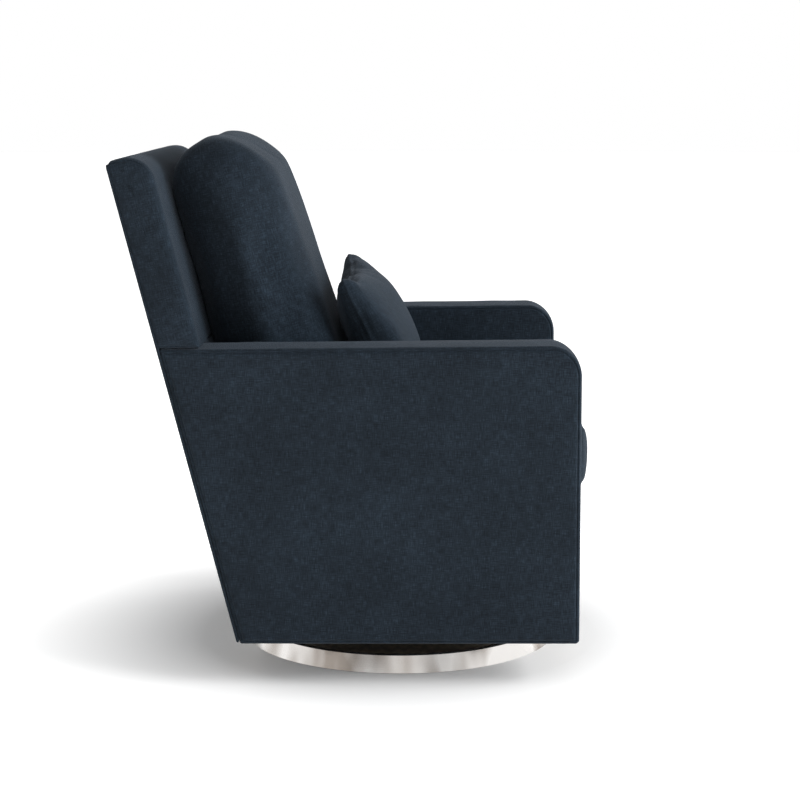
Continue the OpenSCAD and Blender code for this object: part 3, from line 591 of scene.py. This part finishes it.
# %% [markdown]
# ## The outside back
# The last panel to go on is the outside back. Its edges are turned under and stretched over a
# tack strip, so it is a thin sheet over wadding, a little full in the middle, with a crisp
# folded edge just inside the body's sides.
# %% Outside back panel
def outside_outline(inset):
    """The panel seen from behind: across, and up the slope."""
    x = outer_x - 1.2
    corners = [(-x, 2.6), (x, 2.6), (x, back_height - 9), (-x, back_height - 9)]
    return outline(corners, (4, 4, 9, 9), inset, (70, 84, 70, 84), (7, 7, 7, 7))

fold = [(3, 5.6), (1.2, 5.4), (0.3, 4.4), (0.0, 3.2), (0.3, 1.9), (1.2, 1.1), (2.6, 0.7),
        (4.6, 0.9), (6.6, 1.1), (9, 0.9), (13, 0.5), (20, 0.2), (30, 0.0)]
points, quads, row = padded_form(outside_outline, fold, 70, 84)
x, b, depth = points.T
inside = smooth((outer_x - np.abs(x)) / 90) * smooth(b / 90) * smooth((back_height - b) / 90)
is_rear = row == len(fold) - 1
depth = depth - is_rear * inside * (2.2 + 0.9 * uneven(x, b, 31, 260))
depth = depth + 0.35 * np.exp(-((row - 8) / 1.5) ** 2) * np.sin(2 * np.pi * (x + b) / 31)
y, z = lean(-depth, b)
upholster("outside_back_upholstery", np.column_stack([x, y, z]), quads,
          ["outside_back_panel"], rake)

# %% [markdown]
# ## The front apron
# Under the seat cushion the front rail is covered by a narrow padded panel, set between the
# arms. It is rounded over the top, where the cloth goes back to the deck.
# %% Front apron
apron_low, apron_high = box_mm("front_apron")

def apron_outline(inset):
    """The apron from the front: across, and up."""
    x = inner_x - 0.4
    corners = [(-x, body_z), (x, body_z), (x, apron_high[2] - 0.5), (-x, apron_high[2] - 0.5)]
    return outline(corners, (4, 4, 6, 6), inset, (60, 30, 60, 30), (5, 5, 7, 7))

rounded = [(26, 0.0), (18, 0.2), (12, 0.6), (8, 1.3), (5, 2.3), (2.6, 3.8), (1.0, 5.6),
           (0.2, 7.6), (0.0, 9.4), (0.8, 11.2), (3, 11.9)]
points, quads, row = padded_form(apron_outline, rounded, 60, 30)
x, z, depth = points.T
flat = (row == 0) * smooth((inner_x - np.abs(x)) / 60)
depth = depth - flat * (1.5 * np.sin(np.pi * (z - body_z) / (apron_high[2] - body_z)).clip(0)
                        + 0.6 * uneven(x, z, 41, 130))
upholster("apron_upholstery", np.column_stack([x, apron_low[1] + depth, z]), quads,
          ["front_apron"])

# %% [markdown]
# ## Filling a cushion by simulation
# A sewn cover is flat cloth held out by its filling. Blender's Cloth does the same if the closed
# skin is given inside pressure and no gravity: the panels swell, the corners stay, and the cloth
# pulls in between them. Each point may move only so far, a few passes of smoothing take out stray
# creases, and the result is stretched back to the cushion's size and kept as plain points.
# %% Swell a skin with Cloth
def swell(points, quads, pressure, cap, stiff, bend=0.5, frames=20):
    """Points in millimetres after the cloth has filled."""
    mesh = bpy.data.meshes.new("filling")
    mesh.from_pydata((points / 1000).tolist(), [], outward(points, quads).tolist())
    body = place_object("filling", mesh)
    cloth = body.modifiers.new("cloth", "CLOTH")
    s = cloth.settings
    s.quality, s.mass = 6, 0.3
    s.tension_stiffness = s.compression_stiffness = stiff
    s.shear_stiffness, s.bending_stiffness = stiff * 0.5, bend
    s.use_pressure, s.uniform_pressure_force = True, pressure
    s.effector_weights.gravity = 0
    cloth.point_cache.frame_start, cloth.point_cache.frame_end = 1, frames
    scene = bpy.context.scene
    for f in range(1, frames + 1):
        scene.frame_set(f)
    shown = body.evaluated_get(bpy.context.evaluated_depsgraph_get()).data
    after = np.empty(len(points) * 3)
    shown.vertices.foreach_get("co", after)
    scene.frame_set(1)
    bpy.data.objects.remove(body)
    bpy.data.meshes.remove(mesh)
    move = after.reshape(-1, 3) * 1000 - points
    far = np.linalg.norm(move, axis=1)[:, None]
    print(f"swelling: mean {far.mean():.1f} mm, most {far.max():.1f} mm, capped at {cap}")
    return points + move * np.minimum(1, cap / np.maximum(far, 1e-6))

def relax(points, quads, passes):
    """Moves each point half way to the mean of its neighbours, passes times, which takes out
    creases shorter than a few faces and keeps the form."""
    ends = np.concatenate([np.stack([quads[:, i], quads[:, (i + 1) % 4]], 1) for i in range(4)])
    count = np.bincount(ends[:, 0], minlength=len(points)) + np.bincount(
        ends[:, 1], minlength=len(points))
    for _ in range(passes):
        total = np.zeros_like(points)
        for i, j in ((0, 1), (1, 0)):
            for k in range(3):
                total[:, k] += np.bincount(ends[:, i], points[ends[:, j], k], len(points))
        points = 0.5 * points + 0.5 * total / count[:, None]
    return points

def fit_to(value, low, high):
    """Stretches values so that they run from low to high."""
    return low + (value - value.min()) * (high - low) / (value.max() - value.min())

def hold(value, limit, margin):
    """Keeps values below a limit: past (limit - margin) they close on it and never reach it."""
    over = np.maximum(value - (limit - margin), 0)
    return np.where(over > 0, limit - margin * np.exp(-over / margin), value)

def normals_of(points, quads):
    """Outward unit normal at each point: the mean of its faces' normals, by area."""
    q = outward(points, quads)
    n = np.cross(points[q[:, 2]] - points[q[:, 0]], points[q[:, 3]] - points[q[:, 1]])
    total = np.zeros_like(points)
    for i in range(4):
        np.add.at(total, q[:, i], n)
    return total / np.maximum(np.linalg.norm(total, axis=1), 1e-9)[:, None]

def subdivide(piece):
    """One live level of smoothing, the same in the view and in the render."""
    finer = piece.modifiers.new("smooth", "SUBSURF")
    finer.levels = finer.render_levels = 1

# %% [markdown]
# ## The back cushion
# The back cushion is a deep, soft loaf zipped to the back. Its two side panels follow its side
# view, and one long panel wraps the front, top and rear. Its edges are soft, about 40 mm round,
# with no welt, so the seam shows only as a faint line. It is flat where it meets the back.
# %% Back cushion
cushion_half, cushion_top = 280.0, 924.0
rest_z = seat_high[2] + 0.6

def cushion_outline(inset):
    """Side view of the back cushion in the back's frame, set in by inset."""
    rear = back_face - 0.6
    corners = [(-310, level(rest_z, -310)), (rear, level(rest_z, rear)),
               (rear, cushion_top - 10), (-265, cushion_top + 2)]
    return outline(corners, (44, 16, 62, 98), inset, (34, 66, 34, 66), (11, 7, 17, 31))

slim, loaf_r = 9.0, 40.0  # how much smaller the start is all round, and the radius of its edges
loaf_w = 2 * (cushion_half - 7)
side_roll = [(slim + loaf_r * (1 - np.sin(t)), loaf_r * (1 - np.cos(t)) + 1)
             for t in np.linspace(0, np.pi / 2, 9)]
wrap = [(slim, h) for h in np.linspace(loaf_r + 1, loaf_w - loaf_r - 1, 52)[1:-1]]
loaf_profile = side_roll + wrap + [(d, loaf_w - h) for d, h in side_roll[::-1]]
points, quads, row = padded_form(cushion_outline, loaf_profile, 34, 66, near=8, far=8, power=3)
points = relax(swell(points, quads, pressure=3.0, cap=14.0, stiff=20), quads, 22)
a, b, w = points.T
x = fit_to(w, -cushion_half - 3, cushion_half + 3)
a, b = fit_to(a, -318, back_face + 2), fit_to(b, level(rest_z, -290) - 6, cushion_top + 1)
print("back cushion spans", [v.round() for v in (a.min(), a.max(), b.min(), b.max())])

# %% Settle the back cushion in its place
a = hold(a, back_face - 0.5, 5.0)
a = -hold(-a, 322.0, 14.0)
a = a + 4.0 * smooth((b - 700) / 190) * smooth((-a - 150) / 90)
x = np.sign(x) * hold(np.abs(x), 284.0, 5.0)
b = hold(b, 931.0, 6.0)
floor_b = level(rest_z, a)
b = -hold(-b, -floor_b, 6.0)
settled = np.column_stack([x, a, b])
normal = normals_of(settled, quads)
last = len(loaf_profile) - 1
from_side = np.minimum(row, last - row)
front_seam = (np.exp(-((from_side - 4.0) / 0.9) ** 2) * smooth((-a - 120) / 60)
              * smooth((b - 520) / 300))
rear_line = np.exp(-((a - back_face + 42) / 3.0) ** 2) * (from_side < 3) * smooth((860 - b) / 120)
slack = 1.1 * uneven(a + 0.4 * x, b, 51, 230) * smooth((back_face - a - 9) / 40)
settled += normal * (slack - 0.9 * front_seam - 1.7 * rear_line)[:, None]
y, z = lean(settled[:, 1], settled[:, 2])
loaf = upholster("back_cushion_upholstery", np.column_stack([settled[:, 0], y, z]), quads,
                 ["back_cushion_cover", "back_cushion_foam"], rake)
subdivide(loaf)

# %% [markdown]
# ## The seat cushion
# The seat cushion is a boxed cushion: a top and a bottom panel, and a boxing strip round the
# edge. Between the arms it is squeezed flat, and in front of them it swells out, so it stands
# about 30 mm proud of the arms. It slides forward, so it stays just clear of the arms, the deck
# and the back cushion.
# %% Seat cushion
seat_half, seat_rear, seat_reach = seat_high[0], 280.0, 366.0  # how far back and forward
seat_bottom, seat_top = seat_low[2], seat_high[2]

def seat_outline(inset):
    """Seat cushion from above: across, and to the rear."""
    corners = [(-seat_half + 2, seat_low[1] + 6), (seat_half - 2, seat_low[1] + 6),
               (seat_half - 2, seat_rear), (-seat_half + 2, seat_rear)]
    return outline(corners, (42, 42, 24, 24), inset, (64, 72, 64, 72), (13, 13, 9, 9))

seat_edge = [(26, 8.0), (20, 8.2), (14.5, 9.4), (10.5, 12.0), (8.2, 15.4), (7.0, 19.5)]
seat_h = seat_top - seat_bottom
seat_profile = seat_edge + [(6.5, h) for h in np.linspace(24, seat_h - 24, 13)] + [
    (d, seat_h - h) for d, h in seat_edge[::-1]]
points, quads, row = padded_form(seat_outline, seat_profile, 64, 72, near=2, far=4, power=3)
points = relax(swell(points, quads, pressure=2.0, cap=11.0, stiff=25), quads, 9)
x, y, h = points.T
x, y = fit_to(x, -seat_half - 3, seat_half + 3), fit_to(y, -seat_reach, seat_rear + 3)
print("seat cushion spans", [v.round() for v in (y.min(), y.max(), h.min(), h.max())])
x = np.sign(x) * hold(np.abs(x), seat_half - 0.3, 5.0)
y = -hold(-y, seat_reach, 8.0)
y = hold(y, seat_rear - 0.2, 4.0)
under_back = smooth((y + 60) / 90)
h = hold(h, seat_h - 0.2 + 5.0 * (1 - under_back), 9.0)
h = -hold(-h, -0.4, 5.0)
settled = np.column_stack([x, y, h])
normal = normals_of(settled, quads)
last = len(seat_profile) - 1
from_edge = np.minimum(row, last - row)
seam = np.exp(-((from_edge - 4) / 0.9) ** 2)
ripple = np.sin(2 * np.pi * (x + y) / 27 + np.sin(x / 80)) * np.exp(-((from_edge - 3) / 2.5) ** 2)
free = smooth((-y - 100) / 100)
settled += normal * (-2.6 * seam + 0.5 * ripple * free)[:, None]
settled[:, 2] += seat_bottom
seat = upholster("seat_cushion_upholstery", settled, quads,
                 ["seat_cushion_cover", "seat_cushion_foam"], body="seat_cushion")
subdivide(seat)

# %% [markdown]
# ## The lumbar pillow
# The pillow is two flat rectangles sewn together at the edge and filled, which gives a knife
# edge, ears at the corners and sides that pull in between them. The skin starts almost flat and
# larger than the finished pillow, and the cloth finds that shape by itself. The zip at its foot
# is the concealed kind, lost in the seam, so the pillow stands for it too.
# %% Lumbar pillow
pillow_w, pillow_h = 505.0, 284.0

def pillow_outline(inset):
    """The flat pillow in its own plane: across, and up from its foot."""
    x, h = pillow_w / 2 + 14, pillow_h + 22
    corners = [(-x, -12), (x, -12), (x, h - 10), (-x, h - 10)]
    return outline(corners, (34, 34, 34, 34), inset, (84, 48, 84, 48), (15, 15, 15, 15))

pillow_profile = [(20, -22.0), (14, -18.0), (9, -13.0), (5, -8.5), (2.0, -4.0), (0.0, 0.0),
                  (2.0, 4.0), (5, 8.5), (9, 13.0), (14, 18.0), (20, 22.0)]
points, quads, row = padded_form(pillow_outline, pillow_profile, 84, 48, near=40, far=30, power=2)
points = relax(swell(points, quads, pressure=4.0, cap=50.0, stiff=20, bend=1.0), quads, 18)
x, h, depth = points.T
print("pillow spans", [v.round() for v in (h.min(), h.max(), depth.min(), depth.max())])
x = x * (pillow_w / (x.max() - x.min()))
h = (h - h.min()) * (pillow_h + 5) / (h.max() - h.min()) + 0.8
front, rear = -depth.min(), depth.max()
front_bulge = 76 - 14 * smooth(h / pillow_h - 0.35)  # less towards the top
depth = np.where(depth < 0, depth * front_bulge / front, depth * 56 / rear)
settled = np.column_stack([x, h, depth])
normal = normals_of(settled, quads)
from_seam = row - (len(pillow_profile) // 2)
bead = (1.6 * np.exp(-(from_seam / 0.7) ** 2)
        - 1.1 * np.exp(-((np.abs(from_seam) - 1.6) / 0.8) ** 2))
settled += normal * (bead + 0.7 * uneven(x, h, 71, 150) * (np.abs(from_seam) > 3))[:, None]
pillow_lean, foot_y = np.radians(25), -12.0
up, back = settled[:, 1], settled[:, 2]
tilt = settled[:, 0] * np.sin(np.radians(0.9)) + 4.0
world = np.column_stack([settled[:, 0],
                         foot_y + back * np.cos(pillow_lean) + up * np.sin(pillow_lean),
                         seat_top + 2.5 + tilt - back * np.sin(pillow_lean)
                         + up * np.cos(pillow_lean)])
pillow = upholster("lumbar_pillow_upholstery", world, quads,
                   ["lumbar_pillow_cover", "lumbar_pillow_fill", "lumbar_pillow_zip"],
                   pillow_lean, "lumbar_pillow")
subdivide(pillow)

# %% [markdown]
# ## Cloth inside and underneath
# The deck under the seat cushion is cloth over a thin pad on springs. The dust cover is thin
# black cambric stapled under the frame, in four strips round the mechanism, and the base stands
# on a felt pad.
# %% Seat deck
def deck_outline(inset):
    """The deck from above: across, and to the rear."""
    x = deck_high[0] - 0.4
    corners = [(-x, deck_low[1]), (x, deck_low[1]), (x, deck_high[1]), (-x, deck_high[1])]
    return outline(corners, (3, 3, 3, 3), inset, (60, 60, 60, 60), (3, 3, 3, 3))

thick = deck_high[2] - deck_low[2]
deck_profile = [(8, 0), (2, 0.6), (0, 3), (0, thick - 5), (1.2, thick - 2), (4, thick - 0.6),
                (9, thick - 0.3)]
points, quads, row = padded_form(deck_outline, deck_profile, 60, 60)
x, y, h = points.T
dip = (row == len(deck_profile) - 1) * smooth((inner_x - np.abs(x)) / 120) * smooth((y + 300) / 120)
points[:, 2] = h - dip * (1.6 + 0.9 * uneven(x, y, 61, 150)) + deck_low[2]
deck = make_piece("seat_deck_upholstery", points, quads, deck_cloth, "chair")
lay_threads(deck)
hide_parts("seat_deck")

# %% Dust cover strips
dust_low, dust_high = box_mm("dust_cover")

def dust_strip(name, x0, x1, y0, y1, seed):
    """One stretched strip of cambric, 0.8 mm thick. It sags by half a millimetre, as the product
    of two half sine waves."""
    nx, ny = max(int((x1 - x0) / 12), 6), max(int((y1 - y0) / 12), 6)
    gx, gy = np.meshgrid(np.linspace(x0, x1, nx + 1), np.linspace(y0, y1, ny + 1), indexing="ij")
    ex, ey = np.sin(np.pi * (gx - x0) / (x1 - x0)), np.sin(np.pi * (gy - y0) / (y1 - y0))
    sag = 0.5 * ex * ey * (1 + 0.5 * uneven(gx, gy, seed, 90))
    points = np.column_stack([gx.ravel(), gy.ravel(), (dust_low[2] + 1.5 - sag).ravel()])
    grid = np.arange(points.shape[0]).reshape(nx + 1, ny + 1)
    mesh = bpy.data.meshes.new(name)
    mesh.from_pydata((points / 1000).tolist(), [], cells_of(grid).tolist())
    mesh.polygons.foreach_set("use_smooth", np.ones(len(mesh.polygons), dtype=bool))
    strip = place_object(name, mesh)
    mesh.materials.append(cambric)
    wall = strip.modifiers.new("thickness", "SOLIDIFY")
    wall.thickness, wall.offset = 0.0008, 0
    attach(strip, "chair")
    return strip

y0, y1 = dust_low[1], dust_high[1]
rim_x, gap_x, gap_y = 284.5, 205, 240  # the strips' outer edge, and the mechanism's opening
strips = [dust_strip("dust_cover_right", -rim_x, -gap_x, y0, y1, 81),
          dust_strip("dust_cover_left", gap_x, rim_x, y0, y1, 82),
          dust_strip("dust_cover_front", 1 - gap_x, gap_x - 1, y0, -gap_y, 83),
          dust_strip("dust_cover_rear", 1 - gap_x, gap_x - 1, gap_y, y1, 84)]
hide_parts("dust_cover")

# %% Felt pad
def turned(profile, steps):
    """A profile of (radius, height) rows turned about Z, closed on the axis at both ends."""
    r, h = np.asarray(profile, float).T
    t = np.linspace(0, 2 * np.pi, steps, endpoint=False)
    points = np.stack([np.outer(r, np.cos(t)), np.outer(r, np.sin(t)),
                       np.repeat(h[:, None], steps, 1)], -1).reshape(-1, 3)
    grid = np.arange(len(points)).reshape(len(r), steps)
    nxt = np.roll(grid, -1, 1)
    return points, np.stack([grid[:-1], nxt[:-1], nxt[1:], grid[1:]], -1).reshape(-1, 4)

pad_r = box_mm("floor_pad")[1][0]
points, quads = turned([(0.5, 0.0), (pad_r * 0.5, 0.0), (pad_r - 1, 0.0), (pad_r - 0.3, 0.25),
                        (pad_r, 0.9), (pad_r - 0.2, 1.5), (pad_r - 0.9, 1.9),
                        (pad_r * 0.5, 1.95), (0.5, 1.95)], 180)
pad = make_piece("floor_pad_felt", points, quads, wool_felt, "base")
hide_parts("floor_pad")

# %% [markdown]
# ## Floor, light and camera
# The chair stands on a pale floor in a bright room. A large soft light in front of the chair
# gives the lit cushion fronts, a weak one above softens the tops, and the world does the rest.
# The floor glows a little, which is painted light: more so further out, which keeps it white where
# the light falls off, and less near the chair, which paints shade round it.
# %% Floor
def white_with_painted_glow(name, hex_code, rough):
    """Matt white with a painted glow: weak near the chair, which paints shade round it, and more
    past 0.8 m from its axis.
    """
    material, t = new_material(name)
    place = add(t, "TexCoord").outputs["Object"]
    grain = add(t, "TexNoise", {"Vector": place, "Scale": 3.0}).outputs["Fac"]
    roughness = add(t, "MapRange", {"Value": grain, 3: rough - 0.03, 4: rough + 0.03})
    away = add(t, "VectorMath", {0: place}, operation="LENGTH").outputs["Value"]
    # Painted light: the floor glows, least within 0.4 m of the axis, which paints a darker shade
    # round the chair.
    glow = add(t, "MapRange", {"Value": away, 1: 0.4, 2: 0.8, 3: 0.08, 4: 0.75})
    finish_material(t, {"Base Color": colour(hex_code), "Specular IOR Level": 0.1,
                        "Roughness": roughness.outputs["Result"],
                        "Emission Color": colour("#FFFFFF"),
                        "Emission Strength": glow.outputs["Result"]})
    return material

floor_mesh = bpy.data.meshes.new("floor")
floor_r, floor_n = 30.0, 96
t = np.linspace(0, 2 * np.pi, floor_n, endpoint=False)
floor_mesh.from_pydata(np.column_stack([floor_r * np.cos(t), floor_r * np.sin(t),
                                        np.full(floor_n, -0.0005)]).tolist(), [],
                       [list(range(floor_n))])
floor = place_object("floor", floor_mesh)
floor_mesh.materials.append(white_with_painted_glow("white_floor_painted_glow", "#F4F4F4", 0.9))

# %% Lights
def soft_light(name, place, target, size, power):
    """A square area light at place, turned to face target."""
    data = bpy.data.lights.new(name, "AREA")
    data.shape, data.size, data.energy = "SQUARE", size, power
    lamp = place_object(name, data)
    way = np.array(target, float) - place
    z = -way / np.linalg.norm(way)
    x = np.cross((0, 0, 1), z)
    x /= np.linalg.norm(x)
    turn = np.column_stack([x, np.cross(z, x), z])
    lamp.matrix_world = Matrix([[*turn[i], place[i]] for i in range(3)] + [[0, 0, 0, 1]])
    lamp.visible_glossy = False  # its square would show in the steel band

soft_light("key", (-1.4, -4.6, 2.1), (0, 0, 0.5), 3.4, 385)
soft_light("top", (1.2, 1.0, 4.2), (0, 0, 0.5), 2.5, 8)

# %% [markdown]
# The room is white at eye level, so the background stays clean. Higher up it is a ring of six
# pale panels with dimmer gaps between them, which nothing but the steel band ever shows.
# %% White room
world = bpy.data.worlds.new("white_room")
world.use_nodes = True
t = world.node_tree
way = add(t, "SeparateXYZ", {0: add(t, "TexCoord").outputs["Generated"]})
turn = add(t, "Math", {0: way.outputs["Y"], 1: way.outputs["X"]}, operation="ARCTAN2").outputs[0]
turn = add(t, "Math", {0: turn, 1: 6.0, 2: 1.2}, operation="MULTIPLY_ADD").outputs[0]
panels = add(t, "Math", {0: turn}, operation="SINE").outputs[0]
panels = add(t, "MapRange", {"Value": panels, 1: -0.7, 2: 0.9, 3: 0.05, 4: 0.85}).outputs["Result"]
high = add(t, "MapRange", {"Value": way.outputs["Z"], 1: 0.2, 2: 0.34}).outputs["Result"]
panels = add(t, "Math", {0: panels, 1: 1.0}, operation="SUBTRACT").outputs[0]
bright = add(t, "Math", {0: high, 1: panels, 2: 1.0}, operation="MULTIPLY_ADD").outputs[0]
t.links.new(bright, t.nodes["Background"].inputs["Strength"])
t.nodes["Background"].inputs["Color"].default_value = (1, 1, 1, 1)
bpy.context.scene.world = world
bpy.context.scene.view_settings.view_transform = "Standard"

# %% Camera
pitch, yaw = 0.118, -0.00143
forward = np.array([np.cos(pitch) * np.cos(yaw), -np.cos(pitch) * np.sin(yaw), -np.sin(pitch)])
right = np.cross(forward, (0, 0, 1))
right /= np.linalg.norm(right)
above = np.cross(right, forward)
stand = (-3.95628, -0.00555, 1.11158)
lens = bpy.data.cameras.new("camera")
lens.lens, lens.sensor_width, lens.shift_y = 88.4, 36.0, -0.10
lens.clip_start, lens.clip_end = 0.05, 100
camera = place_object("camera", lens)
camera.matrix_world = Matrix([[right[i], above[i], -forward[i], stand[i]] for i in range(3)]
                             + [[0, 0, 0, 1]])
bpy.context.scene.camera = camera
